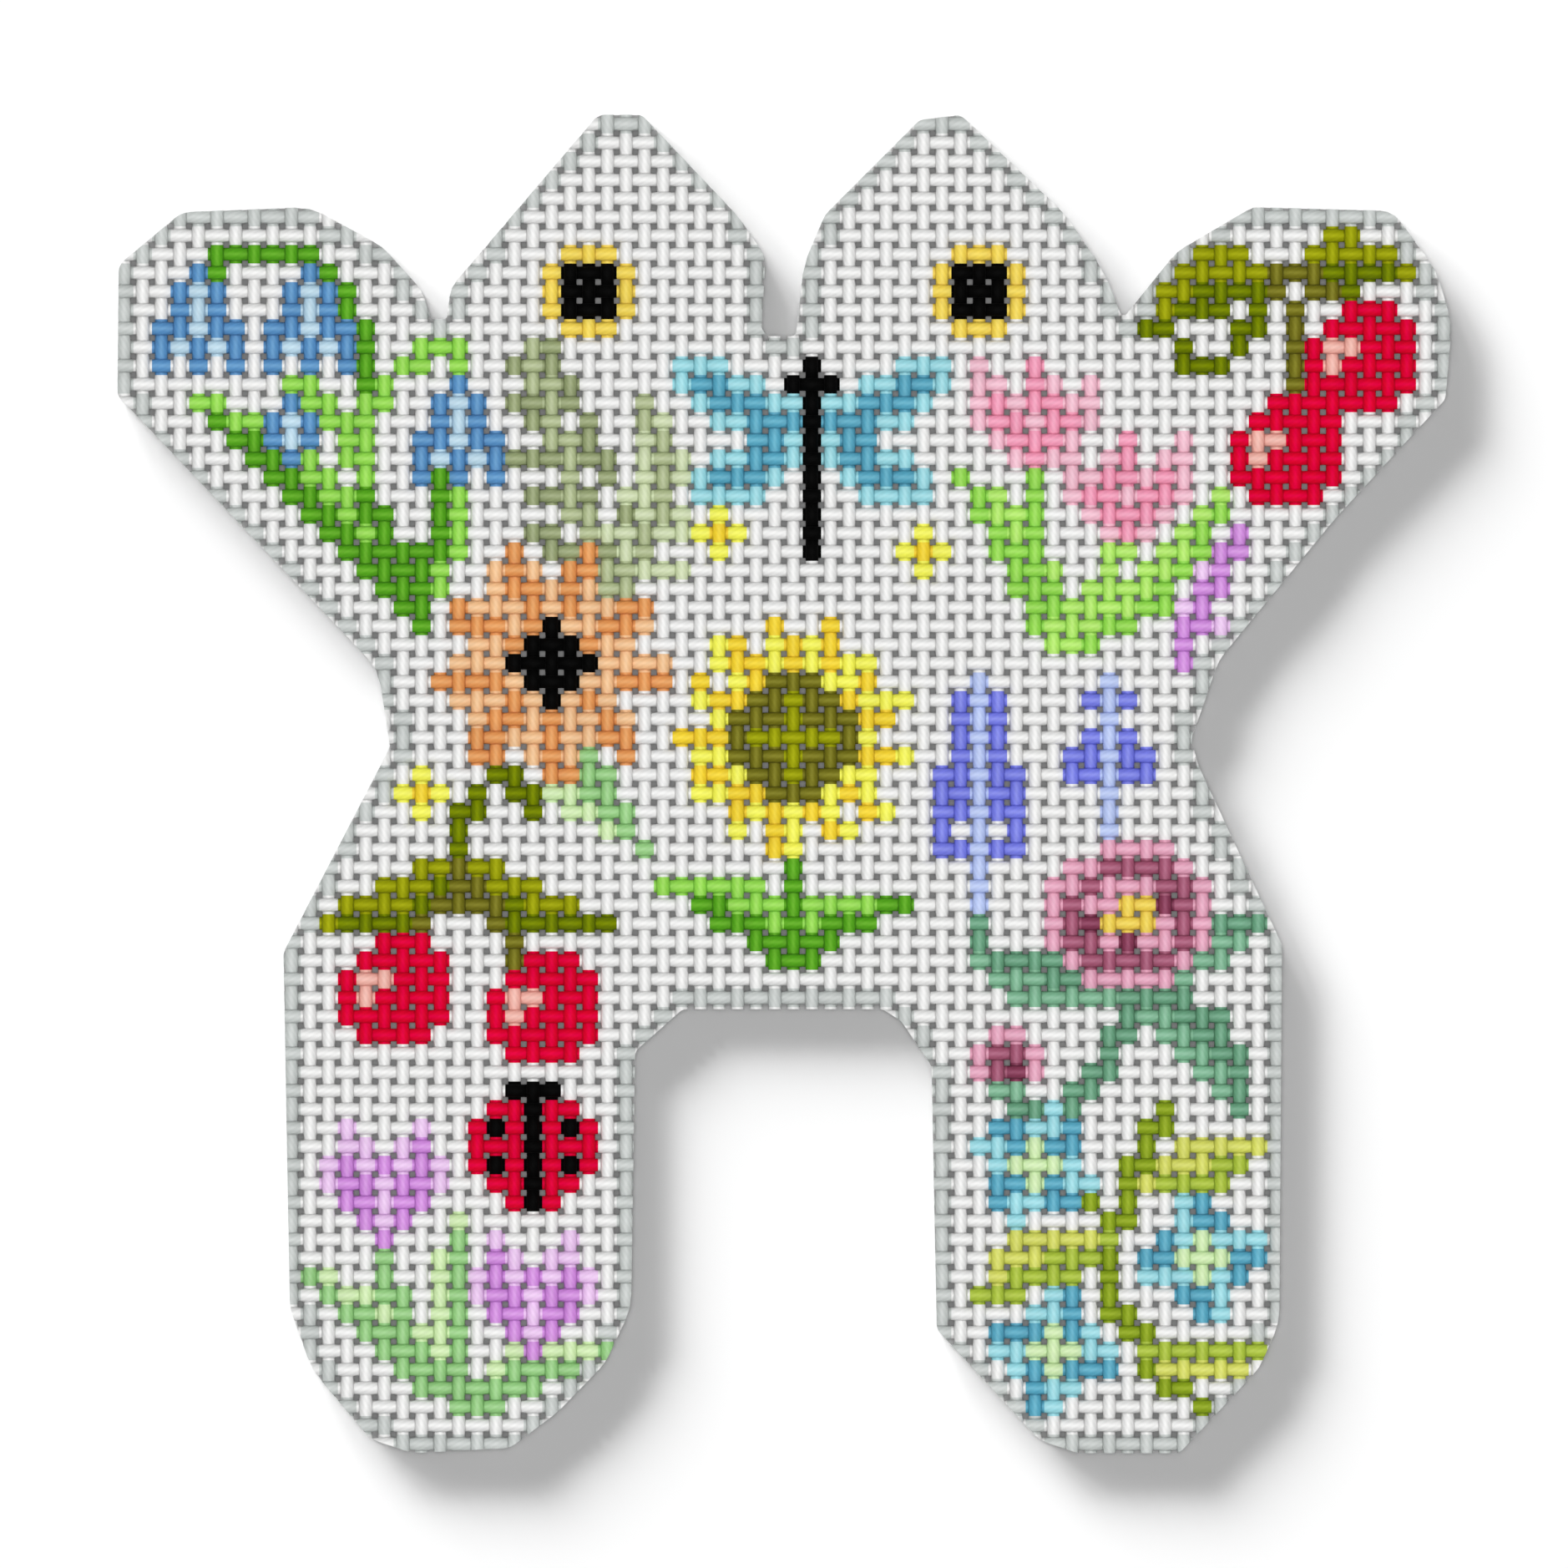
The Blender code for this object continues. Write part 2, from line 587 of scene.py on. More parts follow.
    def draw_hips(self) -> None:
        """Paint cherries and a rose."""
        self.lay(
            Leaf((40, 18), (43, 11), 3.6, Paint.OLIVE, Paint.DARK_OLIVE, bend=0.8),
            Leaf((40, 18), (43, 26), 3.2, Paint.DARK_OLIVE, Paint.OLIVE, bend=-0.8),
            Stem(Paint.BROWN_OLIVE, ((38, 18), (41, 18), (44, 15))),
            Stem(Paint.BROWN_OLIVE, ((40, 18), (43, 20), (45, 22))),
            Stem(Paint.DARK_OLIVE, ((39, 18), (36, 19), (35, 21), (37, 22))),
            Leaf((45, 54), (43, 61), 3.8, Paint.SEA_GREEN, Paint.DEEP_SEA_GREEN),
            Leaf((47, 53), (45, 46), 3.4, Paint.DEEP_SEA_GREEN, Paint.SEA_GREEN),
            Leaf((47, 55), (53, 60), 3.6, Paint.SEA_GREEN, Paint.DEEP_SEA_GREEN, bend=0.8),
            Stem(Paint.DEEP_SEA_GREEN, ((46, 54), (50, 53), (53, 50), (53, 48))),
            Motif(CHERRY, 44, 12),
            Motif(CHERRY, 45, 20),
            Motif(ROSE, 39, 50),
            Motif(ROSEBUD, 49, 46),
            Motif(BUTTON_FLOWER, 35, 15),
        )

    def draw_legs(self) -> None:
        """Paint crocuses and a ladybird on the left leg, and speedwells on a vine on the right one."""
        self.lay(
            Leaf((69, 18), (62, 10), 2.6, Paint.PALE_GREEN, Paint.MID_GREEN, bend=-0.8),
            Leaf((69, 19), (66, 26), 2.4, Paint.MID_GREEN, Paint.PALE_GREEN, bend=0.9),
            Leaf((69, 18), (59, 18), 2.4, Paint.MID_GREEN, Paint.PALE_GREEN, bend=0.6),
            Stem(Paint.MID_GREEN, ((69, 18), (65, 15), (60, 14))),
            Stem(Paint.MID_GREEN, ((69, 18), (68, 20), (66, 22))),
            Motif(CROCUS, 54, 11),
            Motif(CROCUS, 60, 19, flipped=True),
            Motif(LADYBIRD, 52, 19),
        )
        self.lay(
            Stem(Paint.MOSS_GREEN, ((53, 56), (57, 54), (62, 53), (66, 55), (69, 58))),
            Stem(Paint.MOSS_GREEN, ((59, 54), (58, 51), (57, 50))),
            Stem(Paint.MOSS_GREEN, ((65, 54), (67, 52), (67, 51))),
            Leaf((60, 53), (63, 46), 3.4, Paint.STRAW_GREEN, Paint.YELLOW_GREEN, bend=-0.5),
            Leaf((57, 55), (55, 61), 3.4, Paint.YELLOW_GREEN, Paint.STRAW_GREEN),
            Leaf((66, 55), (66, 61), 2.8, Paint.STRAW_GREEN, Paint.YELLOW_GREEN, bend=-0.5),
            Bloom((56, 49), 3.4, 4, 0.15, Paint.AQUA, Paint.DEEP_AQUA, Paint.PALE_GREEN),
            Bloom((61, 58), 3.4, 4, 0.55, Paint.AQUA, Paint.DEEP_AQUA, Paint.PALE_GREEN),
            Bloom((66, 50), 3.2, 4, 0.35, Paint.AQUA, Paint.DEEP_AQUA, Paint.PALE_GREEN),
        )

    def draw_all(self, inside: np.ndarray) -> None:
        """Paint the whole design, with two plain black eyes with gold rims high on the brow.

        Args:
            inside: For each row and column, whether the crossing lies inside the cut.
        """
        self.draw_line_along_cut(inside)
        self.draw_hands()
        self.draw_brow()
        self.draw_chest()
        self.draw_hips()
        self.draw_legs()
        self.lay(Motif(EYE, 7, 23), Motif(EYE, 7, 44))


@dataclass
class CutPanel:
    """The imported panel, read for its outline, its place and its thickness."""

    node: str = PANEL_NODE
    template_overhang: float = 1.0 * MM
    merge_distance: float = 0.001 * MM

    @cached_property
    def low(self) -> Vector:
        """Return the panel's lowest corner."""
        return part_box(self.node)[0]

    @cached_property
    def size(self) -> Vector:
        """Return the panel's width, height and thickness."""
        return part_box(self.node)[1] - self.low

    @property
    def middle_height(self) -> float:
        """Return the height of the middle of the panel's thickness."""
        return self.low.z + self.size.z / 2

    def closed_mesh(self) -> bpy.types.Mesh:
        """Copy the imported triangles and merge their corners.

        Returns:
            The panel as one closed mesh.
        """
        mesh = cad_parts[self.node].data.copy()
        solid = bmesh.new()
        solid.from_mesh(mesh)
        bmesh.ops.remove_doubles(solid, verts=solid.verts, dist=self.merge_distance)
        solid.to_mesh(mesh)
        solid.free()
        return mesh

    def cutting_template(self) -> bpy.types.Mesh:
        """Make the template that the threads are cut with.

        Returns:
            The panel, reaching past both its faces.
        """
        mesh = self.closed_mesh()
        for vertex in mesh.vertices:
            vertex.co.z += math.copysign(self.template_overhang, vertex.co.z - self.middle_height)
        return mesh

    def face_area(self) -> float:
        """Return the area of the panel's upper face."""
        return sum(face.area for face in self.closed_mesh().polygons if face.normal.z > 0.5)

    def crossings_inside(self, weave: "PlainWeave") -> np.ndarray:
        """Tell which crossings of the weave lie inside the cut.

        Args:
            weave: The weave that is laid over the panel.

        Returns:
            For each row and column, whether that crossing's middle lies on the panel.
        """
        mesh = self.closed_mesh()
        tree = BVHTree.FromPolygons([v.co for v in mesh.vertices], [p.vertices for p in mesh.polygons])
        inside = np.zeros((weave.thread_count, weave.thread_count), bool)
        for row, column in np.ndindex(inside.shape):
            above = Vector((*weave.crossing(row, column), self.low.z + 2 * self.size.z))
            inside[row, column] = tree.ray_cast(above, Vector((0, 0, -1)))[0] is not None
        return inside


@dataclass(frozen=True)
class PlainWeave:
    """An even plain weave: its sizes in metres, and where its crossings are.

    The width share is how much of the pitch a thread fills where it lies broadest, which leaves small
    square holes. The pinch is the share of its width that it loses between two crossings.
    """

    pitch: float
    sheet_thickness: float
    thread_count: int = THREADS_EACH_WAY
    width_share: float = 0.72
    stations_per_cell: int = 3
    section_sides: int = 8
    section_crown: float = 1.5
    pinch: float = 0.05

    @property
    def thread_width(self) -> float:
        """Return how broad a thread lies where it crosses another."""
        return self.width_share * self.pitch

    @property
    def thread_thickness(self) -> float:
        """Return a thread's thickness: two of them make up the sheet."""
        return self.sheet_thickness / 2

    @property
    def crimp(self) -> float:
        """Return how far a thread rises and dips, so that it touches the one that it crosses."""
        nearest_station = 0.5 / self.stations_per_cell if self.stations_per_cell % 2 else 0.0
        return self.thread_thickness / 2 / self.wave(math.cos(math.pi * nearest_station))

    @staticmethod
    def wave(cosine: float) -> float:
        """Broaden a cosine's crests, because a thread lies flat where it crosses another."""
        return cosine * (1.5 - 0.5 * cosine**2)

    def width_left(self, cosine: float) -> float:
        """Return the share of its width that a thread keeps at a place in its wave."""
        return 1 - self.pinch * (1 - cosine**2)

    def crossing(self, row: int, column: int) -> Place:
        """Return where a crossing is, across and up. Row 0 is at the top and column 0 at the left."""
        middle = (self.thread_count - 1) / 2
        return (column - middle) * self.pitch, (middle - row) * self.pitch


class WeaveTree:
    """The Geometry Nodes tree that lays one set of threads side by side and cuts it out of the panel."""

    INPUTS = (
        ("Template", "NodeSocketGeometry"),
        ("Thread Count", "NodeSocketInt"),
        ("Pitch", "NodeSocketFloat"),
        ("Thread Width", "NodeSocketFloat"),
        ("Thread Thickness", "NodeSocketFloat"),
        ("Crimp", "NodeSocketFloat"),
        ("Middle Height", "NodeSocketFloat"),
        ("Stations per Cell", "NodeSocketInt"),
        ("Section Sides", "NodeSocketInt"),
        ("Section Crown", "NodeSocketFloat"),
        ("Pinch", "NodeSocketFloat"),
        ("Sway", "NodeSocketFloat"),
        ("Seed", "NodeSocketInt"),
        ("Turn", "NodeSocketFloat"),
        ("Finish", "NodeSocketMaterial"),
    )
    SWAYS_PER_PITCH = 0.37

    def __init__(self) -> None:
        """Make the tree with its named inputs and its one output, and fill it."""
        self.tree = bpy.data.node_groups.new("woven threads", "GeometryNodeTree")
        self.identifiers: dict[str, str] = {}
        for name, kind in self.INPUTS:
            socket = self.tree.interface.new_socket(name, in_out="INPUT", socket_type=kind)
            self.identifiers[name] = socket.identifier
        self.tree.interface.new_socket("Threads", in_out="OUTPUT", socket_type="NodeSocketGeometry")
        self.node: NodeMaker = partial(add_node, self.tree)
        self.inputs = self.node("NodeGroupInput")
        crimped = self.crimped_threads(self.straight_threads())
        self.node("NodeGroupOutput", (self.cut_and_dressed(crimped),))

    def straight_threads(self) -> Socket:
        """Lay a copy of one thread at every pitch, along X, from side to side of the sheet.

        Returns:
            The threads as one real mesh.
        """
        node, sizes = self.node, self.inputs
        length = node("ShaderNodeMath", (sizes["Thread Count"], sizes["Pitch"]), operation="MULTIPLY")[0]
        edge = node("ShaderNodeMath", (length, -0.5), operation="MULTIPLY")[0]
        first = node("ShaderNodeMath", (sizes["Pitch"], 0.5, edge), operation="MULTIPLY_ADD")[0]
        places = node(
            "GeometryNodeMeshLine",
            {
                "Count": sizes["Thread Count"],
                "Start Location": node("ShaderNodeCombineXYZ", {"Y": first})[0],
                "Offset": node("ShaderNodeCombineXYZ", {"Y": sizes["Pitch"]})[0],
            },
            mode="OFFSET",
        )[0]
        thread = self.flattened(self.round_tube(edge, length))
        threads = node("GeometryNodeInstanceOnPoints", {"Points": places, "Instance": thread})[0]
        return node("GeometryNodeRealizeInstances", (threads,))[0]

    def round_tube(self, edge: Socket, length: Socket) -> Socket:
        """Make one thread as a closed round tube along X, with a diameter of 1.

        Args:
            edge: Where the thread starts along X.
            length: How long it is.

        Returns:
            The tube.
        """
        node, sizes = self.node, self.inputs
        stations = node(
            "ShaderNodeMath",
            (sizes["Thread Count"], sizes["Stations per Cell"], 1.0),
            operation="MULTIPLY_ADD",
        )[0]
        line = node(
            "GeometryNodeCurvePrimitiveLine",
            {
                "Start": node("ShaderNodeCombineXYZ", {"X": edge})[0],
                "Direction": (1.0, 0.0, 0.0),
                "Length": length,
            },
            mode="DIRECTION",
        )[0]
        centre_line = node("GeometryNodeResampleCurve", {"Curve": line, "Count": stations}, mode="COUNT")[0]
        section = node(
            "GeometryNodeCurvePrimitiveCircle",
            {"Resolution": sizes["Section Sides"], "Radius": 0.5},
            mode="RADIUS",
        )[0]
        return node(
            "GeometryNodeCurveToMesh",
            {"Curve": centre_line, "Profile Curve": section, "Fill Caps": True},
        )[0]

    def flattened(self, tube: Socket) -> Socket:
        """Give the tube a thread's section, as broad and thick as the thread: a lens with crowned faces.

        Args:
            tube: The round tube.

        Returns:
            The flattened thread.
        """
        node, sizes = self.node, self.inputs
        position = node("GeometryNodeInputPosition")[0]
        height = node("ShaderNodeSeparateXYZ", (position,))["Z"]
        signed = node("ShaderNodeMath", (height, 2.0), operation="MULTIPLY")[0]
        size = node("ShaderNodeMath", (signed,), operation="ABSOLUTE")[0]
        crowned = node("ShaderNodeMath", (size, sizes["Section Crown"]), operation="POWER")[0]
        change = node("ShaderNodeMath", (crowned, size), operation="SUBTRACT")[0]
        side = node("ShaderNodeMath", (signed,), operation="SIGN")[0]
        half_side = node("ShaderNodeMath", (side, 0.5), operation="MULTIPLY")[0]
        rise = node("ShaderNodeMath", (change, half_side), operation="MULTIPLY")[0]
        offset = node("ShaderNodeCombineXYZ", {"Z": rise})[0]
        lens = node("GeometryNodeSetPosition", {"Geometry": tube, "Offset": offset})[0]
        scale = node("ShaderNodeCombineXYZ", (1.0, sizes["Thread Width"], sizes["Thread Thickness"]))[0]
        return node("GeometryNodeTransform", {"Geometry": lens, "Scale": scale})[0]

    def crimped_threads(self, threads: Socket) -> Socket:
        """Bend each thread over and under the ones that it crosses, pinch it between them and let it sway.

        Args:
            threads: The straight threads.

        Returns:
            The threads in their wave.
        """
        node, sizes = self.node, self.inputs
        position = node("GeometryNodeInputPosition")[0]
        in_pitches = node("ShaderNodeVectorMath", (position, sizes["Pitch"]), operation="DIVIDE")[0]
        along, aside, _ = node("ShaderNodeSeparateXYZ", (in_pitches,))
        number = node("ShaderNodeMath", (aside,), operation="FLOOR")[0]
        middle = node("ShaderNodeMath", (number, 0.5), operation="ADD")[0]

        phase = node("ShaderNodeMath", (along, middle), operation="SUBTRACT")[0]
        angle = node("ShaderNodeMath", (phase, math.pi), operation="MULTIPLY")[0]
        cosine = node("ShaderNodeMath", (angle,), operation="COSINE")[0]
        square = node("ShaderNodeMath", (cosine, cosine), operation="MULTIPLY")[0]
        crest = node("ShaderNodeMath", (square, -0.5, 1.5), operation="MULTIPLY_ADD")[0]
        wave = node("ShaderNodeMath", (cosine, crest), operation="MULTIPLY")[0]
        rise = node(
            "ShaderNodeMath", (wave, sizes["Crimp"], sizes["Middle Height"]), operation="MULTIPLY_ADD"
        )[0]

        noise = node(
            "ShaderNodeTexNoise",
            {
                "Vector": node("ShaderNodeCombineXYZ", (along, number, sizes["Seed"]))[0],
                "Scale": self.SWAYS_PER_PITCH,
                "Detail": 1.0,
            },
            noise_dimensions="3D",
        )[0]
        centred = node("ShaderNodeMath", (noise, 0.5), operation="SUBTRACT")[0]
        sway = node("ShaderNodeMath", (centred, sizes["Sway"]), operation="MULTIPLY")[0]
        between = node("ShaderNodeMath", (square, 1.0), operation="SUBTRACT")[0]
        pinch = node("ShaderNodeMath", (between, sizes["Pinch"]), operation="MULTIPLY")[0]
        from_middle = node("ShaderNodeMath", (aside, middle), operation="SUBTRACT")[0]
        reach = node("ShaderNodeMath", (from_middle, sizes["Pitch"]), operation="MULTIPLY")[0]
        shift = node("ShaderNodeMath", (reach, pinch, sway), operation="MULTIPLY_ADD")[0]
        offset = node("ShaderNodeCombineXYZ", {"Y": shift, "Z": rise})[0]
        return node("GeometryNodeSetPosition", {"Geometry": threads, "Offset": offset})[0]

    def cut_and_dressed(self, threads: Socket) -> Socket:
        """Turn the threads to run their way, cut them along the panel's outline and give them their finish.

        Args:
            threads: The crimped threads, along X.

        Returns:
            The finished set.
        """
        node, sizes = self.node, self.inputs
        turn = node("ShaderNodeCombineXYZ", {"Z": sizes["Turn"]})[0]
        turned = node("GeometryNodeTransform", {"Geometry": threads, "Rotation": turn})[0]
        cut = node(
            "GeometryNodeMeshBoolean",
            {"Mesh 2": [turned, sizes["Template"]]},
            operation="INTERSECT",
            solver="MANIFOLD",
        )[0]
        smooth = node("GeometryNodeSetShadeSmooth", {"Geometry": cut, "Shade Smooth": True})[0]
        real = node("GeometryNodeRealizeInstances", (smooth,))[0]
        return node("GeometryNodeSetMaterial", {"Geometry": real, "Material": sizes["Finish"]})[0]


@dataclass(frozen=True)
class PaintedCottonFinish:
    """Sized cotton thread with acrylic brushed on from above.

    The size makes the twisted plies lie close and matt, so only faint slanting lines show along a thread.
    The thin paint fills them a little, lies slightly glossier than the cotton and varies with the brush.
    """

    thread_pitch: float
    cotton: str = "F8F8F7"
    cotton_roughness: float = 0.88
    paint_roughness: float = 0.62
    acrylic_ior: float = 1.47
    gloss: float = 0.05
    sheen: float = 0.01
    sheen_roughness: float = 0.5
    ply_spacing: float = 0.70 * MM
    plies: int = 6
    ply_relief: float = 0.030 * MM
    ply_share: float = 0.35
    relief_strength: float = 0.6
    fibre_length: float = 1.2 * MM
    fibres_around: float = 46.0
    # Painted shade between the plies: darker below the lower height, lighter above the upper one.
    ply_shade_heights: Range = (0.1, 0.9)
    ply_shade_tones: Range = (0.94, 1.02)
    brush_patch: float = 2.6 * MM
    brush_noise: Range = (0.3, 0.7)
    brush_tones: Range = (0.93, 1.04)
    # Painted shade down the furrows: full at this depth round the section, more at crossings by the pinch,
    # cotton and paint darkened to these shares and the paint deepened by this gamma.
    full_shade_depth: float = 0.13
    crossing_shade_pinch: float = 0.30
    cotton_shade_in_furrow: float = 0.81
    paint_shade_in_furrow: float = 0.94
    paint_shade_gamma: float = 1.25

    def material(self) -> bpy.types.Material:
        """Build the material. It reads each corner's paint and its place on its thread.

        Returns:
            The material.
        """
        material = bpy.data.materials.new("acrylic_painted_sized_cotton_canvas")
        material.use_nodes = True
        tree = material.node_tree
        node: NodeMaker = partial(add_node, tree)
        paint = node("ShaderNodeAttribute", attribute_name="paint")
        place = node("ShaderNodeAttribute", attribute_name="thread_place")["Vector"]
        along, around, thread = node("ShaderNodeSeparateXYZ", (place,))
        relief = self.relief(node, along, around, thread)
        roughness = node(
            "ShaderNodeMapRange",
            {"Value": paint["Alpha"], "To Min": self.cotton_roughness, "To Max": self.paint_roughness},
        )[0]
        bump = node(
            "ShaderNodeBump",
            {"Height": relief, "Strength": self.relief_strength, "Distance": self.ply_relief},
        )[0]
        looks = {
            "Base Color": self.colour(node, paint, relief, self.furrow_shade_depth(node, along, around)),
            "Roughness": roughness,
            "Normal": bump,
            "IOR": self.acrylic_ior,
            "Specular IOR Level": self.gloss,
            "Sheen Weight": self.sheen,
            "Sheen Roughness": self.sheen_roughness,
        }
        feed(tree, tree.nodes["Principled BSDF"], looks)
        return material

    def relief(self, node: NodeMaker, along: Socket, around: Socket, thread: Socket) -> Socket:
        """Raise the plies as slanting lines, with fine fibres that run along them.

        The fibres are drawn a little coarser than real ones, so that they show.

        Args:
            node: Adds a node to the material's tree.
            along: Distance along the thread.
            around: Share of the way round its section.
            thread: The thread's number, which shifts its pattern.

        Returns:
            The height.
        """
        turns = node("ShaderNodeMath", (around, self.plies, thread), operation="MULTIPLY_ADD")[0]
        lines = node("ShaderNodeMath", (along, 1 / self.ply_spacing, turns), operation="MULTIPLY_ADD")[0]
        angle = node("ShaderNodeMath", (lines, math.tau), operation="MULTIPLY")[0]
        ridge = node("ShaderNodeMath", (angle,), operation="SINE")[0]
        across = node("ShaderNodeMath", (lines, self.fibres_around / self.plies), operation="MULTIPLY")[0]
        stretched = node("ShaderNodeMath", (along, self.fibre_length), operation="DIVIDE")[0]
        fibres = node(
            "ShaderNodeTexNoise",
            {
                "Vector": node("ShaderNodeCombineXYZ", (stretched, across, thread))[0],
                "Scale": 1.0,
                "Detail": 3.0,
                "Roughness": 0.6,
            },
            noise_dimensions="3D",
        )[0]
        return node("ShaderNodeMath", (ridge, self.ply_share, fibres), operation="MULTIPLY_ADD")[0]

    def furrow_shade_depth(self, node: NodeMaker, along: Socket, around: Socket) -> Socket:
        """Measure how far down a thread's side a place lies, more where another crosses it, for painted
        shade.

        Args:
            node: Adds a node to the material's tree.
            along: Distance along the thread.
            around: Share of the way round its section, which is 0.5 on the crest.

        Returns:
            The depth, 0 on the crest.
        """
        from_crest = node("ShaderNodeMath", (around, 0.5), operation="SUBTRACT")[0]
        shoulder = node("ShaderNodeMath", (from_crest,), operation="ABSOLUTE")[0]
        half_turns = node("ShaderNodeMath", (along, math.pi / self.thread_pitch), operation="MULTIPLY")[0]
        wave = node("ShaderNodeMath", (half_turns,), operation="SINE")[0]
        squeeze = node("ShaderNodeMath", (wave, wave), operation="MULTIPLY")[0]
        steepness = node(
            "ShaderNodeMath",
            (squeeze, self.crossing_shade_pinch, 1 - self.crossing_shade_pinch / 2),
            operation="MULTIPLY_ADD",
        )[0]
        return node("ShaderNodeMath", (shoulder, steepness), operation="MULTIPLY")[0]

    def colour(self, node: NodeMaker, paint: Outputs, relief: Socket, depth: Socket) -> Socket:
        """Lay the paint over the cotton.

        The brush leaves each patch a little lighter or darker. The plies are lighter on their crests and
        darker between them, which is painted shade, on painted threads together with less colour on the
        crests. Cotton and paint are darker down the furrows, which is painted shade, and the paint is
        deeper in colour there, shade too.

        Args:
            node: Adds a node to the material's tree.
            paint: The painted colour, with its cover as alpha.
            relief: Height of the plies and fibres.
            depth: How far down a thread's side a place lies, which sets the painted shade.

        Returns:
            The colour.
        """
        patches = node(
            "ShaderNodeTexNoise",
            {
                "Vector": node("ShaderNodeTexCoord")["Object"],
                "Scale": 1 / self.brush_patch,
                "Detail": 2.0,
            },
            noise_dimensions="3D",
        )[0]
        # The tone varies at random with the brush; the ply streaks are painted shade, darker between the
        # plies and lighter on their crests.
        tone, ply_shade = (
            node(
                "ShaderNodeMapRange",
                {"Value": value, "From Min": low, "From Max": high, "To Min": dark, "To Max": light},
            )[0]
            for value, (low, high), (dark, light) in (
                (patches, self.brush_noise, self.brush_tones),
                (relief, self.ply_shade_heights, self.ply_shade_tones),
            )
        )
        # Painted shade: cotton and paint darker down the furrows, and the paint deeper in colour there.
        cotton_furrow_shade, paint_furrow_shade, furrow_shade_gamma = (
            node(
                "ShaderNodeMapRange",
                {"Value": depth, "From Max": self.full_shade_depth, "To Min": 1.0, "To Max": in_furrow},
                interpolation_type="SMOOTHSTEP",
            )[0]
            for in_furrow in (self.cotton_shade_in_furrow, self.paint_shade_in_furrow, self.paint_shade_gamma)
        )
        cotton_shade = node("ShaderNodeMath", (ply_shade, cotton_furrow_shade), operation="MULTIPLY")[0]
        # brushed carries the brush's random tone and the painted shade between the plies.
        brushed = node("ShaderNodeMath", (tone, ply_shade), operation="MULTIPLY")[0]
        paint_shade = node("ShaderNodeMath", (brushed, paint_furrow_shade), operation="MULTIPLY")[0]
        paint_deepened_by_shade = node("ShaderNodeGamma", (paint["Color"], furrow_shade_gamma))[0]
        shaded_cotton, shaded_paint = (
            node("ShaderNodeVectorMath", {0: colour, "Scale": shade}, operation="SCALE")[0]
            for colour, shade in (
                (linear_colour(self.cotton)[:3], cotton_shade),
                (paint_deepened_by_shade, paint_shade),
            )
        )
        return node(
            "ShaderNodeMix",
            {"Factor": paint["Alpha"], 4: shaded_cotton, 5: shaded_paint},
            data_type="VECTOR",
        )[1]


@dataclass
class ThreadSet:
    """All the threads that run one way, woven, cut out and painted as one piece.

    Paint covers the upper half of a thread and fades out over the lower half, by paint_fade half
    thicknesses below its middle. On the underside as much of it as bleed_through still shows.
    """

    name: str
    turn: float
    seed: int
    panel: CutPanel
    weave: PlainWeave
    sway: float = 0.03 * MM
    paint_fade: float = 0.75
    bleed_through: float = 0.15

    def build(self, tree: WeaveTree, finish: bpy.types.Material, design: PaintedDesign) -> bpy.types.Object:
        """Args:
            tree: The tree that weaves it.
            finish: Its material.
            design: The chart of its painting.

        Returns:
            The finished piece.
        """
        piece = bpy.data.objects.new(self.name, self.panel.cutting_template())
        bpy.context.scene.collection.objects.link(piece)
        modifier = piece.modifiers.new("weave", "NODES")
        modifier.node_group = tree.tree
        values = {
            "Thread Count": self.weave.thread_count,
            "Pitch": self.weave.pitch,
            "Thread Width": self.weave.thread_width,
            "Thread Thickness": self.weave.thread_thickness,
            "Crimp": self.weave.crimp,
            "Middle Height": self.panel.middle_height,
            "Stations per Cell": self.weave.stations_per_cell,
            "Section Sides": self.weave.section_sides,
            "Section Crown": self.weave.section_crown,
            "Pinch": self.weave.pinch,
            "Sway": self.sway,
            "Seed": self.seed,
            "Turn": self.turn,
            "Finish": finish,
        }
        for name, value in values.items():
            modifier[tree.identifiers[name]] = value
        evaluated = piece.evaluated_get(bpy.context.evaluated_depsgraph_get())
        mesh = bpy.data.meshes.new_from_object(evaluated)
        mesh.name = self.name
        piece.modifiers.remove(modifier)
        piece.data = mesh
        self.paint(mesh, design)
        self.declare(piece)
        return piece

    def paint(self, mesh: bpy.types.Mesh, design: PaintedDesign) -> None:
        """Give every corner its paint, its place on its thread and its place on the map.

        Args:
            mesh: The cut threads.
            design: The chart of the painting.
        """
        corners = ThreadCorners.of(mesh, self)
        mesh.polygons.foreach_set("use_smooth", ~corners.is_cut)
        painted = np.zeros((self.weave.thread_count, self.weave.thread_count, 4), np.float32)
        for crossing, paint in design.chart.items():
            painted[crossing] = linear_colour(paint.value)
        colours = painted[corners.cells()][corners.face]
        brushed = np.clip((corners.height + self.paint_fade) / self.paint_fade, 0.0, 1.0)
        brushed = brushed**2 * (3 - 2 * brushed)
        coverage = self.bleed_through + (1 - self.bleed_through) * brushed
        colours[:, 3] *= np.where(corners.is_cut[corners.face], 0.0, coverage)
        layer = mesh.color_attributes.new("paint", "FLOAT_COLOR", "CORNER")
        layer.data.foreach_set("color", colours.ravel())
        place = mesh.attributes.new("thread_place", "FLOAT_VECTOR", "CORNER")
        place.data.foreach_set("vector", corners.thread_places().astype(np.float32).ravel())
        uv_map = mesh.uv_layers.new(name="OFBake", do_init=False)
        uv_map.uv.foreach_set("vector", corners.map_places().astype(np.float32).ravel())

    def declare(self, piece: bpy.types.Object) -> None:
        """Attach the piece to the body that it rides on, hide the imported panel and measure the panel's
        face.

        Args:
            piece: The finished piece.
        """
        width, length, _ = self.panel.size
        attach(piece, BODY)
        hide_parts(self.panel.node)
        self.panel.face_area()


